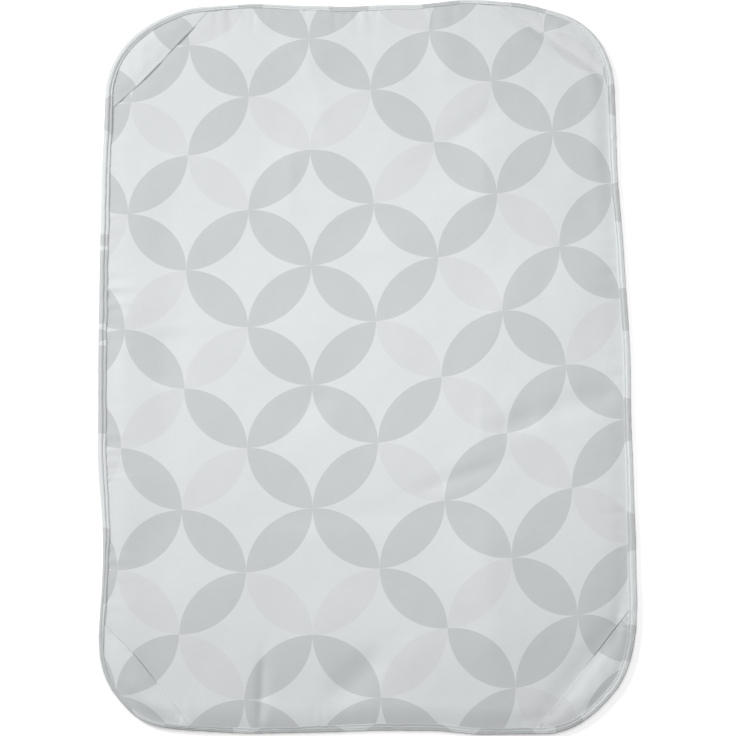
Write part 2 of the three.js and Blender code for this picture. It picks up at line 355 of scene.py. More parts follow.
def mouth_line(corner):
    """A pocket's mouth: its start on the long side, its heading, the way to the corner, its length."""
    corner_point = np.array([corner["to_right"] * BLANKET_WIDTH / 2, corner["to_top"] * BLANKET_LENGTH / 2])
    on_side = corner_point - [0, corner["to_top"] * corner["long_leg"]]
    on_end = corner_point - [corner["to_right"] * corner["end_leg"], 0]
    run = np.linalg.norm(on_end - on_side)
    heading = (on_end - on_side) / run
    square = corner_point - on_side - heading * (heading @ (corner_point - on_side))
    return on_side, heading, square / np.linalg.norm(square), run


def mouth_bow(corner, share):
    return value_along(POCKET_DETAIL[corner["name"]]["bow"], share) * MM


def mouth_place(corner, x, y):
    """How far along a pocket's mouth a place lies, as a share, and how far past it, to the corner."""
    on_side, heading, square, run = mouth_line(corner)
    from_x, from_y = x - on_side[0], y - on_side[1]
    share = (from_x * heading[0] + from_y * heading[1]) / run
    return share, from_x * square[0] + from_y * square[1] - mouth_bow(corner, share)


def mouth_relief(x, y):
    """The dips along the pockets' mouths."""
    total = np.zeros(np.shape(x))
    for corner in CORNERS:
        detail = POCKET_DETAIL[corner["name"]]
        share, depth = mouth_place(corner, x, y)
        outside, under = detail["dip_width"]
        width = np.where(depth < 0, outside, under) * MM
        total -= value_along(detail["dip"], share) * MM * np.exp(-(depth / width) ** 2)
    return total


def mouth_valley(xy):
    """How far past a pocket's mouth each place lies, and the depth there of the valley beside the mouth."""
    past, depth = np.zeros(len(xy)), np.zeros(len(xy))
    for corner in CORNERS:
        share, from_mouth = mouth_place(corner, *xy.T)
        fade = 1 - smoothstep((np.abs(from_mouth) - VALLEY_REACH) / VALLEY_REACH)
        here = fade > 0
        past[here] = from_mouth[here]
        depth[here] = (value_along(POCKET_DETAIL[corner["name"]]["valley"], share) * fade)[here] * MM
    return np.column_stack([past, depth, np.zeros(len(xy))])


def tucked(x, y):
    """1 where a pocket lies over the cover, and 0 where the cover shows."""
    total = np.zeros(np.shape(x))
    for corner in CORNERS:
        _, depth = mouth_place(corner, x, y)
        total = np.maximum(total, smoothstep((depth - TUCK_START) / TUCK_WIDTH))
    return total


# How much flatter than its full crown the cover lies at the right, top, left and bottom, and how far
# in from each side that reaches.
CROWN_DROPS = np.array([3.5, 3.5, 3.3, 0.8]) * MM
CROWN_DROP_REACH = 55 * MM


def crown_start(along):
    """Where the cover comes out from under the tape."""
    return tape_reach(along) + CROWN_PAST_TAPE


def crown_rise(x, y, inset, along):
    share = np.sin(np.clip((inset - crown_start(along)) / CROWN_WIDTH, 0, 1) * math.pi / 2)
    half_width, half_length = BLANKET_WIDTH / 2, BLANKET_LENGTH / 2
    from_sides = (half_width - x, half_length - y, half_width + x, half_length + y)
    drop = sum(CROWN_DROPS[k] * np.exp(-np.maximum(from_sides[k], 0) / CROWN_DROP_REACH) for k in range(4))
    return share * (CROWN_RISE - drop)


# How far the cover swells up right beside the tape, in millimetres, at even steps round the blanket.
SWELLS = (0.1, 0, 0, 0, 0, 0.1, 0.3, 0.4, 0.4, 0.4, 0.1, 0, 0, 0, 0, 0, 0.2, 0.35, 0.35, 0.35, 0.1)
SWELL_START = -1.5 * MM
SWELL_WIDTH = 3 * MM
SWELL_REACH = 40 * MM


def swell(inset, along):
    past = inset - tape_reach(along)
    shape = smoothstep((past - SWELL_START) / SWELL_WIDTH) * (1 - smoothstep(past / SWELL_REACH))
    return round_edge(SWELLS, along) * MM * shape


def footed(height_at_seam, inset):
    return height_at_seam - BACKING_AT_SEAM * smoothstep((inset - FOOT_START) / FOOT_WIDTH)


def squeezed(height, inset, along):
    """Sewn layers that are pressed thin towards the outline keep their order."""
    reach = tape_reach(along)
    share = np.clip((reach - inset) / (reach - FOLD_RADIUS), 0, 1)
    layer_share = (height - TAPE_BOTTOM) / (TAPE_TOP - TAPE_BOTTOM)
    return height - round_edge(TAPE_SLUMP, along) * MM * share * np.clip(layer_share, 0, None)


# How puckered the cover is at even steps round the blanket.
PUCKER_SHARES = (0.3, 0.6, 0.6, 0.6, 0.6, 0.6, 0.2, 0.8, 0.8, 0.55, 0.2,
                 0.8, 1, 1, 1, 0.8, 0.2, 0.5, 0.6, 0.5, 0.3)


def edge_relief(inset, along):
    """Puckers and tucks that run in from the seam and die out."""
    start = crown_start(along)
    past = inset - start
    strength = np.clip(0.75 + 0.6 * pucker_strength(along), 0.1, 2.2) * round_edge(PUCKER_SHARES, along)
    begin = smoothstep((inset - LAYER_EDGE) / (start - LAYER_EDGE))
    fade_share = (inset / INNERMOST_RING - PUCKER_END_SHARE) / (1 - PUCKER_END_SHARE)
    fade = 1 - smoothstep(fade_share)
    puckers = PUCKER_HEIGHT * pucker_ripple(along) * np.exp(-np.abs(past) / PUCKER_REACH)
    tucks = TUCK_HEIGHT * tuck_ripple(along) * np.exp(-np.abs(past - TUCK_CREST) / TUCK_REACH)
    relief = (puckers + tucks) * strength * begin * fade
    # The felt underneath stops the deepest dips.
    return np.where(relief < 0, DEEPEST_PUCKER * np.tanh(relief / DEEPEST_PUCKER), relief)


def off_tape(inset, along):
    start = crown_start(along)
    return smoothstep((inset - 0.6 * start) / (0.5 * start))


def broad_height(x, y, inset, along):
    """The top of the cover without its creases. Its inner part has an endless inset."""
    past = inset - crown_start(along)
    height = COVER_AT_SEAM + CLOTH_THICKNESS + crown_rise(x, y, inset, along) + swell(inset, along)
    height = height + smoothstep(past / SLOW_FADE_IN) * SLOW_RELIEF * slow_relief(x, y)
    height = height + smoothstep(past / FOLD_FADE_IN) * fold_relief(x, y)
    return height + smoothstep(past / DIP_FADE_IN) * mouth_relief(x, y)


def lying_height(x, y, inset, along):
    """How high the cloth that shows lies: the cover, and at the corners what is under the pockets."""
    calm = smoothstep((inset - crown_start(along)) / SLOW_FADE_IN)
    height = broad_height(x, y, inset, along) + calm * FINE_RELIEF * fine_relief(x, y)
    height = height + off_tape(inset, along) * crease_relief(x, y)
    near = inset < INNERMOST_RING
    height[near] += edge_relief(inset[near], along[near])
    return squeezed(height, inset, along)


def cover_height(x, y, inset, along):
    return lying_height(x, y, inset, along) - TUCK_SINK * tucked(x, y) * off_tape(inset, along)


def fill_patch(outline, ring):
    """The middle of a sheet: a grid stretched between the four sides of its innermost ring."""
    long, short = outline.long, outline.short
    right = ring[:long + 1]
    top = ring[long:long + short + 1][::-1]
    left = ring[long + short:2 * long + short + 1][::-1]
    bottom = np.concatenate([ring[2 * long + short:], ring[:1]])
    across = (np.arange(short + 1) / short)[:, None, None]
    up = (np.arange(long + 1) / long)[None, :, None]
    between_sides = (1 - across) * left[None] + across * right[None]
    between_ends = (1 - up) * bottom[:, None] + up * top[:, None]
    corners = ((1 - across) * (1 - up) * bottom[0] + across * (1 - up) * bottom[-1]
               + (1 - across) * up * top[0] + across * up * top[-1])
    return between_sides + between_ends - corners


def grid_faces(index):
    """The faces between the points of a grid, given by their numbers."""
    return np.stack([index[:-1, :-1], index[1:, :-1], index[1:, 1:], index[:-1, 1:]], axis=-1).reshape(-1, 4)


class Sheet:
    """A flat sheet that fills the outline: rings near the edge, and one grid in the middle."""

    def __init__(self, outline, insets):
        count = outline.count
        rings = [outline.inset(inset * MM) for inset in insets]
        patch = fill_patch(outline, rings[-1])
        inner = patch[1:-1, 1:-1]
        self.xy = np.concatenate([*rings, inner.reshape(-1, 2)])
        inner_count = inner.shape[0] * inner.shape[1]
        ring_insets = np.repeat(np.array(insets) * MM, count)
        self.inset = np.concatenate([ring_insets, np.full(inner_count, 10.0)])
        self.along = np.concatenate([np.tile(outline.along, len(insets)), np.zeros(inner_count)])
        rings_of_faces = self.ring_faces(len(insets), count)
        self.faces = np.concatenate([rings_of_faces, self.patch_faces(outline, len(insets))])

    @staticmethod
    def ring_faces(rings, count):
        here = np.arange(count)
        beside = (here + 1) % count
        return np.concatenate([
            np.stack([row * count + here, row * count + beside,
                      (row + 1) * count + beside, (row + 1) * count + here], axis=1)
            for row in range(rings - 1)
        ])

    @staticmethod
    def patch_faces(outline, rings):
        long, short, count = outline.long, outline.short, outline.count
        first = (rings - 1) * count
        index = np.empty((short + 1, long + 1), int)
        index[1:-1, 1:-1] = (first + count + np.arange((short - 1) * (long - 1))).reshape(short - 1, long - 1)
        index[-1, :] = first + np.arange(long + 1)
        index[::-1, -1] = first + long + np.arange(short + 1)
        index[0, ::-1] = first + long + short + np.arange(long + 1)
        index[:, 0] = first + (2 * long + short + np.arange(short + 1)) % count
        return grid_faces(index)


def srgb(red, green, blue):
    values = np.array([red, green, blue]) / 255
    linear = np.where(values <= 0.04045, values / 12.92, ((values + 0.055) / 1.055) ** 2.4)
    return (*linear.tolist(), 1.0)


class NodeTree:
    """Nodes that are written as arithmetic."""

    def __init__(self, tree):
        self.nodes = tree.nodes
        self.links = tree.links

    def feed(self, socket, value):
        if isinstance(value, bpy.types.NodeSocket):
            self.links.new(value, socket)
        else:
            socket.default_value = value

    def math(self, operation, *values):
        node = self.nodes.new("ShaderNodeMath")
        node.operation = operation
        for socket, value in zip(node.inputs, values):
            self.feed(socket, value)
        return node.outputs[0]

    def plus(self, first, second):
        return self.math("ADD", first, second)

    def minus(self, first, second):
        return self.math("SUBTRACT", first, second)

    def times(self, first, second):
        return self.math("MULTIPLY", first, second)

    def times_plus(self, first, second, third):
        return self.math("MULTIPLY_ADD", first, second, third)

    def hypotenuse(self, across, up):
        return self.math("SQRT", self.times_plus(across, across, self.times(up, up)))

    def directly_seen(self):
        """1 for the camera and for reflections and clear pieces, and 0 for light that falls on others."""
        path = self.nodes.new("ShaderNodeLightPath")
        shiny = self.math("MAXIMUM", path.outputs["Is Glossy Ray"], path.outputs["Is Transmission Ray"])
        return self.math("MAXIMUM", path.outputs["Is Camera Ray"], shiny)

    def place(self, attribute):
        """The three parts of a stored place."""
        node = self.nodes.new("ShaderNodeAttribute")
        node.attribute_name = attribute
        parts = self.nodes.new("ShaderNodeSeparateXYZ")
        self.links.new(node.outputs["Vector"], parts.inputs[0])
        return parts.outputs[0], parts.outputs[1], parts.outputs[2]

    def vector(self, x, y, z=0.0):
        node = self.nodes.new("ShaderNodeCombineXYZ")
        for socket, value in zip(node.inputs, (x, y, z)):
            self.feed(socket, value)
        return node.outputs[0]

    def noise(self, place, scale, detail=2.0):
        node = self.nodes.new("ShaderNodeTexNoise")
        self.feed(node.inputs["Vector"], place)
        node.inputs["Scale"].default_value = scale
        node.inputs["Detail"].default_value = detail
        return node.outputs["Fac"]

    def blend(self, share, first, second):
        node = self.nodes.new("ShaderNodeMix")
        node.data_type = "RGBA"
        self.feed(node.inputs["Factor"], share)
        self.feed(node.inputs["A"], first)
        self.feed(node.inputs["B"], second)
        return node.outputs["Result"]

    def ramp(self, value, low, high, to_low, to_high, smooth=True):
        node = self.nodes.new("ShaderNodeMapRange")
        node.interpolation_type = "SMOOTHSTEP" if smooth else "LINEAR"
        for socket, number in zip(node.inputs, (value, low, high, to_low, to_high)):
            self.feed(socket, number)
        return node.outputs[0]

    def scaled(self, colour, factor):
        node = self.nodes.new("ShaderNodeVectorMath")
        node.operation = "SCALE"
        self.feed(node.inputs[0], colour if isinstance(colour, bpy.types.NodeSocket) else colour[:3])
        self.feed(node.inputs["Scale"], factor)
        return node.outputs[0]


class Shader(NodeTree):
    """A material's nodes."""

    def __init__(self, name):
        self.material = bpy.data.materials.new(name)
        self.material.use_nodes = True
        super().__init__(self.material.node_tree)
        self.surface = self.nodes["Principled BSDF"]

    def bump(self, height, distance, strength=1.0):
        node = self.nodes.new("ShaderNodeBump")
        node.inputs["Distance"].default_value = distance
        node.inputs["Strength"].default_value = strength
        self.feed(node.inputs["Height"], height)
        self.links.new(node.outputs[0], self.surface.inputs["Normal"])

    def finish(self, colour, roughness, **values):
        self.feed(self.surface.inputs["Base Color"], colour)
        self.feed(self.surface.inputs["Roughness"], roughness)
        for name, value in values.items():
            self.surface.inputs[name.replace("_", " ")].default_value = value
        return self.material


# The print: rings of one lattice step in radius that overlap as petals. Where the cloth's own
# lattice has its middle, how far it is turned and skewed, and how the sewn blanket pulls it.
LATTICE = 82.35 * MM
MIDDLE_COLUMN = 4
MIDDLE_ROW = 6
PRINT_MIDDLE = np.array([13.9, -44.0]) * MM
PRINT_TURN = math.radians(-0.23)
PRINT_SKEW = math.tan(math.radians(2.51))
PRINT_REACH = np.array([345, 500]) * MM

# Which petals are pale, by column, in each of the eight rows of the repeat.
PALE_PETALS = (
    (7,), (0, 2, 3, 5), (1, 4), (-1, 6), (0, 5), (1, 4, 7), (0, 5), (-1, 1, 4, 6),
)
GROUND_COLOUR = srgb(226, 230, 231)
# The dark petal colour also paints the shade along the tape's bottom left outline.
DARK_PETAL_AND_PAINTED_SHADE_COLOUR = srgb(206, 209, 210.3)
PALE_PETAL_COLOUR = srgb(221.3, 223.7, 225.1)
PETAL_EDGE = 0.004
TAPE_DARK_RUN_EDGE = 0.3 * MM


def cloth_pull(x, y):
    """How far sewing has pulled the printed cloth, at a place on the flat cloth."""
    across, up = x / PRINT_REACH[0], y / PRINT_REACH[1]
    pull_x = (1.4 + 8.4 * across - 12.3 * across ** 3 - 2.1 * across ** 2
              - 6.5 * across * up - 2.7 * up ** 2 - 2.1 * across * up ** 2)
    pull_y = (0.6 + 1.5 * across + 12.5 * across ** 2 + 5.4 * across * up
              + 3.1 * up - 2 * up ** 3 - 9.1 * across ** 2 * up - 3.5 * across * up ** 2)
    return pull_x * MM, pull_y * MM


def print_place(xy):
    """The print's column and row at a place on the blanket."""
    x, y = xy[:, 0].copy(), xy[:, 1].copy()
    for _ in range(6):
        pull_x, pull_y = cloth_pull(x, y)
        x, y = xy[:, 0] - pull_x, xy[:, 1] - pull_y
    x, y = x - PRINT_MIDDLE[0], y - PRINT_MIDDLE[1]
    turned_x = x * math.cos(PRINT_TURN) + y * math.sin(PRINT_TURN)
    turned_y = -x * math.sin(PRINT_TURN) + y * math.cos(PRINT_TURN)
    turned_y -= PRINT_SKEW * turned_x
    column = MIDDLE_COLUMN + turned_x / LATTICE
    row = MIDDLE_ROW - turned_y / LATTICE
    return np.stack([column, row, np.zeros(len(x))], axis=1)


def petal_share(shader, column, row):
    """1 inside a petal and 0 on the ground, and the cell's own column and row."""
    cell_column = shader.math("FLOOR", column)
    cell_row = shader.math("FLOOR", row)
    across = shader.minus(column, cell_column)
    down = shader.minus(row, cell_row)
    odd = shader.math("FLOORED_MODULO", shader.plus(cell_column, cell_row), 2.0)
    mirrored = shader.minus(1.0, across)
    across = shader.times_plus(odd, shader.minus(mirrored, across), across)
    near = shader.hypotenuse(across, down)
    far = shader.hypotenuse(shader.minus(1.0, across), shader.minus(1.0, down))
    furthest = shader.math("MAXIMUM", near, far)
    inside = shader.ramp(furthest, 1 + PETAL_EDGE, 1 - PETAL_EDGE, 0.0, 1.0)
    return inside, cell_column, cell_row


def pale_share(shader, cell_column, cell_row):
    """1 where the print's petal is a pale one. Each row's petals are the bits of one number."""
    columns = 10
    row_in_repeat = shader.math("FLOORED_MODULO", cell_row, 8.0)
    ramp = shader.nodes.new("ShaderNodeValToRGB")
    ramp.color_ramp.interpolation = "CONSTANT"
    stops = ramp.color_ramp.elements
    stops.remove(stops[1])
    for row, petals in enumerate(PALE_PETALS):
        bits = sum(2 ** (column + 1) for column in petals) / 2 ** columns
        stop = stops[0] if row == 0 else stops.new(row / 8)
        stop.position = row / 8
        stop.color = (bits, bits, bits, 1)
    shader.feed(ramp.inputs[0], shader.times_plus(row_in_repeat, 1 / 8, 1 / 16))
    bits = shader.times_plus(ramp.outputs[0], float(2 ** columns), 0.01)
    step = shader.math("POWER", 2.0, shader.plus(cell_column, 1.0))
    return shader.math("FLOORED_MODULO", shader.math("FLOOR", shader.math("DIVIDE", bits, step)), 2.0)


def weave_height(shader, x, y, pitch):
    """Plain weave: one bump where each thread passes over another."""
    waves = [shader.math("SINE", shader.times(value, math.pi / pitch)) for value in (x, y)]
    bumps = shader.math("ABSOLUTE", shader.times(*waves))
    return shader.math("SQRT", bumps)


def print_colour(shader):
    """The cover's print, and the place on the cloth."""
    column, row, _ = shader.place("print_place")
    inside, cell_column, cell_row = petal_share(shader, column, row)
    paleness = pale_share(shader, cell_column, cell_row)
    petal = shader.blend(paleness, DARK_PETAL_AND_PAINTED_SHADE_COLOUR, PALE_PETAL_COLOUR)
    x = shader.times(column, LATTICE)
    y = shader.times(row, LATTICE)
    return shader.blend(inside, GROUND_COLOUR, petal), x, y


def tape_colour(shader):
    """The same print where the narrow tape cuts through its petals, with painted shade along the bottom left
    outline in the dark petal colour.
    """
    x, y, depth = shader.place("tape_place")
    inside = shader.ramp(depth, -TAPE_DARK_RUN_EDGE, TAPE_DARK_RUN_EDGE, 0.0, 1.0)
    return shader.blend(inside, GROUND_COLOUR, DARK_PETAL_AND_PAINTED_SHADE_COLOUR), x, y


def valley_height(shader):
    """How deep the narrow valley beside a pocket's mouth is, on the cloth that carries its place."""
    past, depth, _ = shader.place("mouth_valley")
    across = shader.math("DIVIDE", past, VALLEY_WIDTH)
    fall = shader.times(shader.times(across, across), -1.0)
    return shader.times(depth, shader.math("EXPONENT", fall))


def cotton(name, colour_and_place):
    """Printed plain-weave cotton."""
    shader = Shader(name)
    colour, x, y = colour_and_place(shader)
    place = shader.vector(x, y)
    mottle = shader.noise(place, 28.0, 3.0)
    grain = shader.noise(place, 110.0)
    slubs = shader.noise(shader.vector(shader.times(x, 0.12), y), 900.0)
    shade = shader.times_plus(mottle, 0.03, 0.955)
    shade = shader.times_plus(grain, 0.03, shade)
    shade = shader.times_plus(slubs, 0.03, shade)
    threads = shader.times_plus(slubs, 0.6, weave_height(shader, x, y, 0.5 * MM))
    cloth = shader.times(threads, 0.025 * MM)
    shader.bump(shader.minus(cloth, valley_height(shader)), 1.0)
    roughness = shader.times_plus(mottle, 0.1, 0.8)
    return shader.finish(shader.scaled(colour, shade), roughness, Specular_IOR_Level=0.2)


def layer_shader(name):
    """A hidden layer's material, and the place on the cloth as x, y and a vector."""
    shader = Shader(name)
    x, y, _ = shader.place("cloth_place")
    return shader, x, y, shader.vector(x, y)


def plain_cloth(name, colour, pitch, roughness):
    shader, x, y, place = layer_shader(name)
    mottle = shader.noise(place, 22.0, 4.0)
    across = shader.noise(shader.vector(shader.times(x, 0.08), y), 700.0)
    up = shader.noise(shader.vector(x, shader.times(y, 0.08)), 700.0)
    slubs = shader.plus(across, up)
    shade = shader.times_plus(mottle, 0.06, 0.93)
    shade = shader.times_plus(slubs, 0.05, shade)
    weave = weave_height(shader, x, y, pitch)
    shader.bump(shader.times_plus(slubs, 0.5, weave), 0.08 * MM, 0.6)
    return shader.finish(shader.scaled(colour, shade), roughness, Specular_IOR_Level=0.2)


def felt():
    shader, _, _, place = layer_shader("Felt")
    fibres = shader.noise(place, 1400.0, 4.0)
    clumps = shader.noise(place, 120.0, 3.0)
    shade = shader.times_plus(clumps, 0.08, 0.9)
    shade = shader.times_plus(fibres, 0.06, shade)
    shader.bump(shader.plus(fibres, clumps), 0.3 * MM, 0.7)
    return shader.finish(shader.scaled(srgb(240, 239, 235), shade), 0.95, Specular_IOR_Level=0.1)


def metallised():
    shader, x, y, place = layer_shader("MetallisedSheet")
    crinkle = shader.noise(place, 60.0, 5.0)
    weave = weave_height(shader, x, y, 0.7 * MM)
    shader.bump(shader.times_plus(crinkle, 4.0, weave), 0.06 * MM, 0.6)
    roughness = shader.times_plus(crinkle, 0.2, 0.28)
    return shader.finish(srgb(201, 204, 205), roughness, Metallic=0.9)


def thread():
    """Two-ply thread: the plies show as slanting ridges round it."""
    shader = Shader("Thread")
    along, around, _ = shader.place("cloth_place")
    turns = shader.times(along, 2 * math.pi / (0.55 * MM))
    plies = shader.math("SINE", shader.times_plus(around, 2.0, turns))
    # The colour is darker in the grooves between the plies and lighter on their ridges: painted shade.
    shade = shader.times_plus(plies, 0.04, 0.95)
    shader.bump(plies, 0.05 * MM, 0.8)
    return shader.finish(shader.scaled(srgb(238, 241, 241), shade), 0.6, Specular_IOR_Level=0.3)


def add_object(name, data):
    item = bpy.data.objects.new(name, data)
    bpy.context.collection.objects.link(item)
    return item


def add_mesh(name, points, faces, material, stored):
    """A smooth mesh, moved so that the blanket's middle is at the origin, with its stored places."""
    settled = points - np.array([MIDDLE[0], MIDDLE[1], 0])
    mesh = bpy.data.meshes.new(name)
    mesh.from_pydata(settled.tolist(), [], faces.tolist())
    mesh.shade_smooth()
    for attribute, places in stored.items():
        layer = mesh.attributes.new(attribute, "FLOAT_VECTOR", "POINT")
        layer.data.foreach_set("vector", np.asarray(places, np.float32).ravel())
    mesh.materials.append(material)
    return add_object(name, mesh)


def thicken(piece, thickness, offset=0.0):
    """Gives a single layer of cloth its thickness."""
    solid = piece.modifiers.new("Thickness", "SOLIDIFY")
    solid.thickness = thickness
    solid.offset = offset
    return piece


def own(piece, node, slot):
    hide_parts(node)
    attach(piece, "root")
    return piece


def with_height(xy, height):
    return np.column_stack([xy, np.broadcast_to(height, len(xy))])


cover_sheet = Sheet(cover_outline, COVER_INSETS)
hidden_sheet = Sheet(hidden_outline, HIDDEN_INSETS)


def make_cover(material):
    sheet = cover_sheet
    height = cover_height(*sheet.xy.T, sheet.inset, sheet.along)
    piece = add_mesh("Cover", with_height(sheet.xy, height), sheet.faces, material,
                     {"print_place": print_place(sheet.xy), "mouth_valley": mouth_valley(sheet.xy)})
    return own(piece, "top_cover", "printed_cotton")


def make_layer(name, node, slot, at_seam, thickness, material):
    """A hidden flat layer."""
    sheet = hidden_sheet
    height = squeezed(footed(at_seam, sheet.inset), sheet.inset, sheet.along) + thickness / 2
    piece = add_mesh(name, with_height(sheet.xy, height), sheet.faces, material,
                     {"cloth_place": with_height(sheet.xy, 0)})
    return own(thicken(piece, thickness), node, slot)


PADDING_CLEARANCE = 0.9 * MM


def make_padding(material):
    """The felt fills the space between the foil and the cover."""
    sheet = hidden_sheet
    x, y = sheet.xy.T
    bulk = smoothstep((sheet.inset - crown_start(sheet.along)) / (0.5 * CROWN_WIDTH))
    top = broad_height(x, y, sheet.inset, sheet.along) - CLOTH_THICKNESS - LAYER_GAP
    top -= bulk * PADDING_CLEARANCE + TUCK_SINK * tucked(x, y)
    bottom = footed(PADDING_BOTTOM_AT_SEAM, sheet.inset)
    top = np.maximum(top, bottom + 0.8 * PADDING_AT_SEAM)
    top = squeezed(top, sheet.inset, sheet.along)
    bottom = squeezed(bottom, sheet.inset, sheet.along)
    count = len(sheet.xy)
    rim = np.arange(hidden_outline.count)
    beside = (rim + 1) % hidden_outline.count
    band = np.stack([rim, rim + count, beside + count, beside], axis=1)
    faces = np.concatenate([sheet.faces, sheet.faces[:, ::-1] + count, band])
    points = np.concatenate([with_height(sheet.xy, top), with_height(sheet.xy, bottom)])
    piece = add_mesh("Padding", points, faces, material,
                     {"cloth_place": with_height(np.concatenate([sheet.xy, sheet.xy]), 0)})
    return own(piece, "padding", "felt")


# The tape, at even steps round the blanket, in millimetres: how far its upper leg reaches in, how far
# its outer edge is pressed down, how far its seam is from its inner edge, how deep the groove there is
# and how full the tape is outside that.
TAPE_REACH = (8.5, 11, 9, 9, 9, 10, 7.5, 6, 8, 6, 9.5, 10.5, 11, 10.5, 10.5, 6.5, 4, 6.5, 8, 7.5, 8.5)
TAPE_SLUMP = (0, 0, 0, 0, 0, 0, 0, 0, 0, -0.2, -1.2, -0.6, -0.5, -0.5, -0.5, -0.2, 0, 1, 1.4, 1.2, 0)
SEAM_FROM_TAPE_EDGE = (2.5, 2.5, 2.5, 2.5, 2.5, 2.5, 2.5, 2.5, 2.5, 2.3, 1.4,
                       3.3, 4, 3.8, 3.6, 3.6, 2.5, 2.5, 2.5, 2.5, 2.5)
GROOVE_DEPTHS = (0.3, 0.4, 0.45, 0.45, 0.45, 0.45, 0.4, 0.3, 0.3, 0.3, 0.25,
                 0.85, 0.85, 0.85, 0.85, 0.6, 0.35, 0.25, 0.25, 0.25, 0.3)
TAPE_PUFF = (0.35, 0.35, 0.35, 0.35, 0.35, 0.35, 0.35, 0.35, 0.35, 0.4, 0.7,
             0.7, 0.7, 0.7, 0.7, 0.5, 0.35, 0.3, 0.3, 0.3, 0.35)
tape_pucker = waves_along(4 * MM, 11 * MM)
tape_sway = waves_along(40 * MM, 160 * MM)
tape_roll = waves_along(14 * MM, 40 * MM)
GROOVE_FLOOR = 0.45 * MM
NARROWEST_ROLL = 0.7 * MM
GROOVE_WIDTH = 0.8 * MM
INNER_LEG_SHARES = (1, 0.8, 0.6, 0.42, 0.28, 0.14)
OUTER_LEG_SHARES = (0, 0.05, 0.1, 0.16, 0.25, 0.4, 0.55, 0.7, 0.85, 0.97)
FOLD_ANGLES = (76, 56, 38, 18, -5, -30, -54, -78)
FOLD_SQUARENESS = 0.5
LOWER_LEG_INSETS = (3, 5, 6.5, 7.5, 8.5, 11)
UNDER_SEAM_INSET = 7.5 * MM
UNDER_SEAM_DIP = 0.15 * MM
UNDER_SEAM_WIDTH = 1 * MM


def round_edge(values, along):
    """A smooth value at places round the blanket."""
    return value_along(values, along / PERIMETER)


def tape_reach(along):
    return round_edge(TAPE_REACH, along) * MM + 0.2 * MM * tape_sway(along)


def groove_depth(along):
    return round_edge(GROOVE_DEPTHS, along) * MM * (0.8 + 0.1 * tape_pucker(along))


def tape_raise(along):
    """A deeper groove has its floor where a shallow one has it, so the tape beside it stands higher."""
    return round_edge(GROOVE_DEPTHS, along) * MM - GROOVE_FLOOR


def seam_inset(along):
    inset = tape_reach(along) - round_edge(SEAM_FROM_TAPE_EDGE, along) * MM
    return np.maximum(inset, FOLD_RADIUS + NARROWEST_ROLL)


def seam_place(outline):
    """How far in the seam is, and the height of the groove's floor on top of the tape."""
    along = outline.along
    inset = seam_inset(along)
    height = TAPE_TOP + tape_raise(along) - groove_depth(along)
    return inset, squeezed(height, inset, along) + POCKET_STEP * outline.lift


def upper_leg(outline):
    """The upper leg's insets and heights, from its inner edge to the fold."""
    along = outline.along
    seam = seam_inset(along)
    inner, outer = tape_reach(along) - seam, seam - FOLD_RADIUS
    distances = [(inner * share, share) for share in INNER_LEG_SHARES]
    distances += [(-outer * share, -share) for share in OUTER_LEG_SHARES]
    sections = []
    for distance, share in distances:
        inset = seam + distance
        groove = groove_depth(along) * np.exp(-(distance / GROOVE_WIDTH) ** 2)
        fullness = round_edge(TAPE_PUFF, along) * MM + 0.1 * MM * tape_roll(along)
        shape = fullness * math.sin(math.pi * max(-share, 0)) + 0.13 * MM * tape_pucker(along) * max(share, 0)
        shape = shape + tape_raise(along) * min(1 - share, 1)
        height = TAPE_TOP - TAPE_THICKNESS / 2 + shape - groove
        sections.append((inset, squeezed(height, inset, along) + POCKET_STEP * outline.lift))
    return sections


def fold_round(outline):
    """The fold's insets and heights. Its section is a rounded square."""
    along = outline.along
    middle = (TAPE_TOP + TAPE_BOTTOM) / 2
    radius = FOLD_RADIUS - TAPE_THICKNESS / 2
    sections = []
    for angle in FOLD_ANGLES:
        out, up = math.cos(math.radians(angle)), math.sin(math.radians(angle))
        out_share = out ** FOLD_SQUARENESS
        up_share = math.copysign(abs(up) ** FOLD_SQUARENESS, up)
        upper_share = (1 + up_share) / 2
        inset = FOLD_RADIUS - radius * out_share * (1 + 0.04 * tape_roll(along) * out)
        height = middle + radius * up_share + tape_raise(along) * upper_share
        sections.append((inset, squeezed(height, inset, along) + POCKET_STEP * outline.lift * upper_share))
    return sections


def lower_leg(outline):
    """The lower leg's insets and heights, with a dip at its seam."""
    sections = []
    for inset in LOWER_LEG_INSETS:
        dip = UNDER_SEAM_DIP * math.exp(-((inset * MM - UNDER_SEAM_INSET) / UNDER_SEAM_WIDTH) ** 2)
        height = TAPE_BOTTOM + TAPE_THICKNESS / 2 + dip
        sections.append((np.full(outline.count, inset * MM), np.full(outline.count, height)))
    return sections


def tape_sections(outline):
    """The middle of the tape's thickness: insets and heights, one column for each place round."""
    sections = upper_leg(outline) + fold_round(outline) + lower_leg(outline)
    return np.array([inset for inset, _ in sections]), np.array([height for _, height in sections])


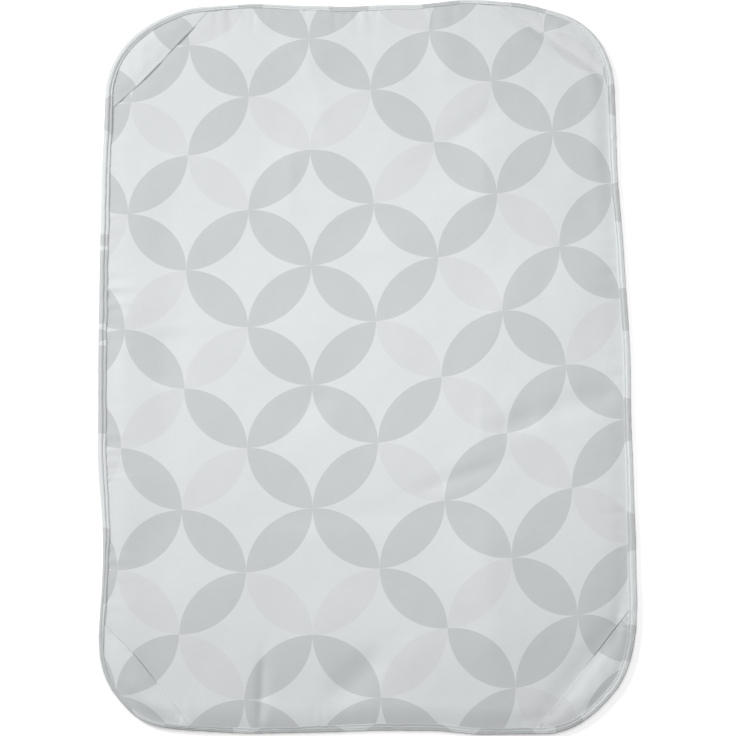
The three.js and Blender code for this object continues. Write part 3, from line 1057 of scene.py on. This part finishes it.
# The dark runs that the cut tape shows, in millimetres round from the middle of the bottom right
# corner: each one's middle, and half its length at the outline and at the tape's inner edge. Most are
# the print's dark petals; (2435, 105, 5) is painted shade, a dark wedge along the bottom left outline,
# and (2494, 38, 34) darkens the whole tape just past that corner.
TAPE_PETALS_AND_PAINTED_SHADE = (
    (75, 26, 27), (222, 23, 27), (371, 28, 30), (522, 30, 29), (673, 29, 26), (822, 24, 20),
    (1024, 26, 25), (1145, 26, 26), (1272, 28, 26), (1407, 17, 17),
    (1707, 22, 30), (1888, 8, 8), (1954, 51, 52), (2021, 9, 6), (2095, 60, 60), (2330, 51, 48),
    # (2435, 105, 5) is painted shade along the bottom left outline, not a petal.
    (2435, 105, 5), (2494, 38, 34), (2620, 44, 44), (2745, 58, 46), (2883, 55, 42), (3003, 38, 30),
    (3083, 18, 18),
)


def tape_print(outline, insets):
    """Places on the flat tape, and how far inside a dark run each one is; the runs are dark petals and one
    painted shade at the bottom left outline.
    """
    along = np.broadcast_to(outline.along, insets.shape)
    inwards = insets / tape_reach(outline.along)
    depth = np.full(insets.shape, -LATTICE)
    for middle, at_outline, at_inner_edge in TAPE_PETALS_AND_PAINTED_SHADE:
        half = (at_outline + (at_inner_edge - at_outline) * inwards) * MM
        gap = np.abs(along - middle * MM)
        depth = np.maximum(depth, half - np.minimum(gap, PERIMETER - gap))
    return np.stack([along, insets, depth], axis=-1)


def make_tape(material):
    outline = tape_outline
    insets, heights = tape_sections(outline)
    across = insets[..., None]
    xy = outline.point[None] - outline.normal[None] * across
    points = np.concatenate([xy, heights[..., None]], axis=-1).reshape(-1, 3)
    rows = len(insets)
    lengths = np.hypot(np.diff(insets, axis=0), np.diff(heights, axis=0))
    unrolled = insets[0] - np.concatenate([np.zeros((1, outline.count)), np.cumsum(lengths, axis=0)])
    stored = tape_print(outline, unrolled).reshape(-1, 3)
    faces = Sheet.ring_faces(rows, outline.count)[:, ::-1]
    piece = add_mesh("EdgeBinding", points, faces, material, {"tape_place": stored})
    return own(thicken(piece, TAPE_THICKNESS), "edge_binding", "binding_cotton")


STITCH_LENGTH = 3 * MM
STITCH_SLANT = 0.12 * MM
TOP_THREAD_SINK = 0.22 * MM
TOP_THREAD_RISE = 0.42 * MM
UNDER_THREAD_SINK = 0.2 * MM
UNDER_THREAD_RISE = -0.4 * MM
STEPS_IN_STITCH = 6
THREAD_SIDES = 6


def unit(vectors):
    return vectors / np.linalg.norm(vectors, axis=1)[:, None]


def stitched_thread(name, node, inset_of, height_of, rise, material):
    """One thread right round the seam, which comes up, lies along the tape and dives at each stitch."""
    stitches = round(PERIMETER / STITCH_LENGTH)
    count = stitches * STEPS_IN_STITCH
    at = np.arange(count) / count * PERIMETER
    outline = tape_outline
    around = np.append(outline.along, PERIMETER)

    def sample(values):
        return np.interp(at, around, np.append(values, values[0]))

    def sample_xy(values):
        return np.stack([sample(values[:, k]) for k in range(2)], axis=1)

    inset = sample(inset_of)
    point, normal = sample_xy(outline.point), unit(sample_xy(outline.normal))
    phase = (np.arange(count) % STEPS_IN_STITCH) / STEPS_IN_STITCH
    arch = np.minimum(1, 1.5 * np.sin(math.pi * phase) ** 0.8)
    height = sample(height_of) + rise * arch
    slant = STITCH_SLANT * np.sin(2 * math.pi * phase)
    centre = with_height(point - normal * (inset + slant)[:, None], height)
    path = unit(np.roll(centre, -1, axis=0) - np.roll(centre, 1, axis=0))
    sideways = unit(np.cross(path, [0, 0, 1]))
    upwards = np.cross(sideways, path)
    radius = THREAD_THICKNESS / 2
    turns = np.arange(THREAD_SIDES) / THREAD_SIDES * 2 * math.pi
    ring = [centre + radius * (math.cos(turn) * sideways + math.sin(turn) * upwards) for turn in turns]
    points = np.stack(ring, axis=1).reshape(-1, 3)
    here = np.arange(count)[:, None] * THREAD_SIDES
    following = (np.arange(count)[:, None] + 1) % count * THREAD_SIDES
    side = np.arange(THREAD_SIDES)[None]
    next_side = (side + 1) % THREAD_SIDES
    faces = np.stack([here + side, here + next_side, following + next_side, following + side], axis=-1)
    stored = np.stack([
        np.repeat(at, THREAD_SIDES), np.tile(turns, count), np.zeros(count * THREAD_SIDES),
    ], axis=1)
    piece = add_mesh(name, points, faces.reshape(-1, 4), material, {"cloth_place": stored})
    return own(piece, node, "thread")


def make_threads(material):
    inset, floor = seam_place(tape_outline)
    stitched_thread(
        "TopStitching", "binding_top_thread", inset, floor - TOP_THREAD_SINK, TOP_THREAD_RISE, material)
    under_inset = np.full(tape_outline.count, UNDER_SEAM_INSET)
    under_height = np.full(tape_outline.count, TAPE_BOTTOM + UNDER_THREAD_SINK)
    stitched_thread(
        "UnderStitching", "binding_under_thread", under_inset, under_height, UNDER_THREAD_RISE, material)


POCKET_ROWS = 26
POCKET_COLUMNS = 150
FOLD_ROWS = 3
POCKET_CLOTH = 0.22 * MM
POCKET_GAP = 0.08 * MM
LIFT_DEPTH = 16 * MM
LIFT_SHARPNESS = 1.6
ROW_CROWDING = 1.25
FREE_START = 7 * MM
FREE_WIDTH = 18 * MM
POCKET_RELIEF = 0.2 * MM
FOLD_ROW_STEP = 0.2 * MM
RIM_CLEARANCE = 0.6 * MM
pocket_relief = waves_across(18 * MM, 60 * MM)


def nearest_on_outline(xy):
    """The inset and the distance along the outline of places near the edge."""
    outline = cover_outline
    inset, along = np.empty(len(xy)), np.empty(len(xy))
    for part in np.array_split(np.arange(len(xy)), 40):
        gap = xy[part, None] - outline.point[None]
        best = np.argmin((gap ** 2).sum(axis=-1), axis=1)
        offset = xy[part] - outline.point[best]
        normal = outline.normal[best]
        inset[part] = -(offset * normal).sum(axis=1)
        tangent = np.stack([-normal[:, 1], normal[:, 0]], axis=1)
        along[part] = outline.along[best] + (offset * tangent).sum(axis=1)
    return inset, along


def pocket_rim(corner):
    """The pocket's sewn edge, from the blanket's long side round to its end."""
    on_side, _, square, _ = mouth_line(corner)
    rim = tape_outline.inset(LAYER_EDGE)
    beyond = (rim - on_side) @ square
    keep = np.flatnonzero(beyond > RIM_CLEARANCE)
    breaks = np.flatnonzero(np.diff(keep) > 1)
    keep = np.concatenate([keep[breaks[0] + 1:], keep[:breaks[0] + 1]]) if len(breaks) else keep
    rim = rim[keep]
    if np.linalg.norm(rim[0] - on_side) > np.linalg.norm(rim[-1] - on_side):
        rim = rim[::-1]
    travelled = np.append(0, np.cumsum(np.linalg.norm(np.diff(rim, axis=0), axis=1)))
    at = np.linspace(0, travelled[-1], POCKET_COLUMNS)
    return np.stack([np.interp(at, travelled, rim[:, k]) for k in range(2)], axis=1)


def make_pocket(corner, material):
    """A doubled cloth, folded along its mouth and sewn in with the tape."""
    detail = POCKET_DETAIL[corner["name"]]
    on_side, heading, square, run = mouth_line(corner)
    rim = pocket_rim(corner)
    first, last = (rim[0] - on_side) @ heading, (rim[-1] - on_side) @ heading
    along_mouth = np.linspace(first, last, POCKET_COLUMNS)
    share = along_mouth / run
    mouth = on_side + heading * along_mouth[:, None] + square * mouth_bow(corner, share)[:, None]
    lift = value_along(detail["lift"], share) * MM
    steps = (np.arange(POCKET_ROWS) / (POCKET_ROWS - 1)) ** ROW_CROWDING

    xy = mouth[None] + (rim - mouth)[None] * steps[:, None, None]
    flat = xy.reshape(-1, 2)
    inset, along = nearest_on_outline(flat)
    ground = lying_height(flat[:, 0], flat[:, 1], inset, along).reshape(POCKET_ROWS, POCKET_COLUMNS)
    relief = pocket_relief(flat[:, 0], flat[:, 1]).reshape(ground.shape)
    depth = np.linalg.norm(rim - mouth, axis=1)[None] * steps[:, None]
    free = smoothstep((inset.reshape(ground.shape) - FREE_START) / FREE_WIDTH)
    off = np.exp(-(depth / LIFT_DEPTH) ** LIFT_SHARPNESS) * lift[None]
    puff = smoothstep(depth / (detail["puff_depth"] * MM)) * (detail["puff"] * MM + POCKET_RELIEF * relief)
    low = ground + POCKET_GAP + POCKET_CLOTH / 2 + (off + puff) * free
    high = low + PRESSED_PLY + (detail["ply"] * MM - PRESSED_PLY) * smoothstep(lift / OPEN_LIFT)[None]

    angles = np.linspace(math.pi / 2, -math.pi / 2, FOLD_ROWS + 2)[1:-1]
    radius = (high[0] - low[0]) / 2
    middle = (high[0] + low[0]) / 2
    fold = [(mouth - square * (radius * math.cos(angle))[:, None], middle + radius * math.sin(angle))
            for angle in angles]
    rows = [with_height(xy[row], high[row]) for row in range(POCKET_ROWS - 1, -1, -1)]
    rows += [with_height(place, height) for place, height in fold]
    rows += [with_height(xy[row], low[row]) for row in range(POCKET_ROWS)]
    points = np.stack(rows)

    shift = np.array(detail["shift"]) * MM
    unrolled = [xy[row] for row in range(POCKET_ROWS - 1, -1, -1)]
    unrolled += [mouth - square * (FOLD_ROW_STEP * (1 + order)) for order in range(FOLD_ROWS)]
    unrolled += [2 * mouth - xy[row] for row in range(POCKET_ROWS)]
    stored = print_place(np.concatenate(unrolled) - shift)
    row_count = len(points)
    index = np.arange(row_count * POCKET_COLUMNS).reshape(row_count, POCKET_COLUMNS)
    faces = grid_faces(index)
    a, b, c = (points.reshape(-1, 3)[faces[0, k]] for k in range(3))
    if np.cross(b - a, c - a)[2] < 0:
        faces = faces[:, ::-1]
    name = "Pocket" + corner["name"].title().replace("_", "")
    piece = add_mesh(name, points.reshape(-1, 3), faces, material, {"print_place": stored})
    own(thicken(piece, POCKET_CLOTH), "corner_pocket_" + corner["name"], "printed_cotton")

    # The cut cloth is the patch and its mirror image in the mouth line.
    return piece


# The camera turns the blanket's frame by these angles and then moves it by this much.
CAMERA_LENS_MM = 115
CAMERA_TILT = math.radians(17.606)
CAMERA_YAW = math.radians(0.058)
CAMERA_ROLL = math.radians(1.118)
CAMERA_SHIFT = Vector((-0.0047, 0.0213, -3.0785))


def place_camera():
    turn = (Matrix.Rotation(-CAMERA_TILT, 3, "X") @ Matrix.Rotation(CAMERA_YAW, 3, "Y")
            @ Matrix.Rotation(CAMERA_ROLL, 3, "Z"))
    back = turn.transposed()
    data = bpy.data.cameras.new("Camera")
    data.lens = CAMERA_LENS_MM
    data.clip_end = 50
    camera = add_object("Camera", data)
    camera.matrix_world = Matrix.Translation(back @ -CAMERA_SHIFT - Vector((*MIDDLE, 0))) @ back.to_4x4()
    bpy.context.scene.camera = camera


# The lamps: where each one is and points to, in metres, how wide it is and its power in watts.
LAMPS = {
    "Overhead": dict(place=(0.076, 0.005, 1.13), aim=(0.076, 0.005, 0), size=0.8, power=6.3),
    "Side": dict(place=(-3.2, 2.4, 2.2), aim=(0, 0, 0), size=1.3, power=144),
}
WHITE = (1, 1, 1, 1)
WORLD_LIGHT = 0.2
FLOOR_HALF = 12
FLOOR_DROP = 0.2 * MM
FLOOR_GLOW = 0.45


def area_light(name, place, aim, size, power):
    data = bpy.data.lights.new(name, "AREA")
    data.shape = "DISK"
    data.size = size
    data.energy = power
    light = add_object(name, data)
    light.visible_camera = False
    light.location = place
    light.rotation_euler = (Vector(aim) - Vector(place)).to_track_quat("-Z", "Y").to_euler()


def light_studio():
    for name, lamp in LAMPS.items():
        area_light(name, **lamp)
    world = bpy.data.worlds.new("Studio")
    world.use_nodes = True
    tree = NodeTree(world.node_tree)
    background = tree.nodes["Background"]
    strength = tree.ramp(tree.directly_seen(), 0.0, 1.0, WORLD_LIGHT, 1.0, smooth=False)
    tree.feed(background.inputs["Strength"], strength)
    background.inputs["Color"].default_value = WHITE
    bpy.context.scene.world = world


def lay_floor():
    corners = np.array([[-1, -1], [1, -1], [1, 1], [-1, 1]]) * FLOOR_HALF
    mesh = bpy.data.meshes.new("Floor")
    mesh.from_pydata(with_height(corners, -FLOOR_DROP).tolist(), [], [(0, 1, 2, 3)])
    shader = Shader("Floor")
    shader.surface.inputs["Emission Color"].default_value = WHITE
    shader.feed(shader.surface.inputs["Emission Strength"], shader.times(shader.directly_seen(), FLOOR_GLOW))
    mesh.materials.append(shader.finish(srgb(236, 236, 236), 0.9, Specular_IOR_Level=0.0))
    floor = add_object("Floor", mesh)


place_camera()
printed = cotton("PrintedCotton", print_colour)
cover = make_cover(printed)
backing_cloth = plain_cloth("BackingCloth", srgb(232, 230, 224), 0.6 * MM, 0.9)
backing = make_layer("Backing", "backing", "backing_cloth", BACKING_AT_SEAM, CLOTH_THICKNESS, backing_cloth)
reflective = make_layer("ReflectiveLayer", "heat_reflective_layer", "metallised_sheet",
                        REFLECTIVE_AT_SEAM, FOIL_THICKNESS, metallised())
padding = make_padding(felt())
tape = make_tape(cotton("BindingCotton", tape_colour))
make_threads(thread())

for corner in CORNERS:
    make_pocket(corner, printed)

light_studio()
lay_floor()
bpy.context.scene.view_settings.view_transform = "Standard"
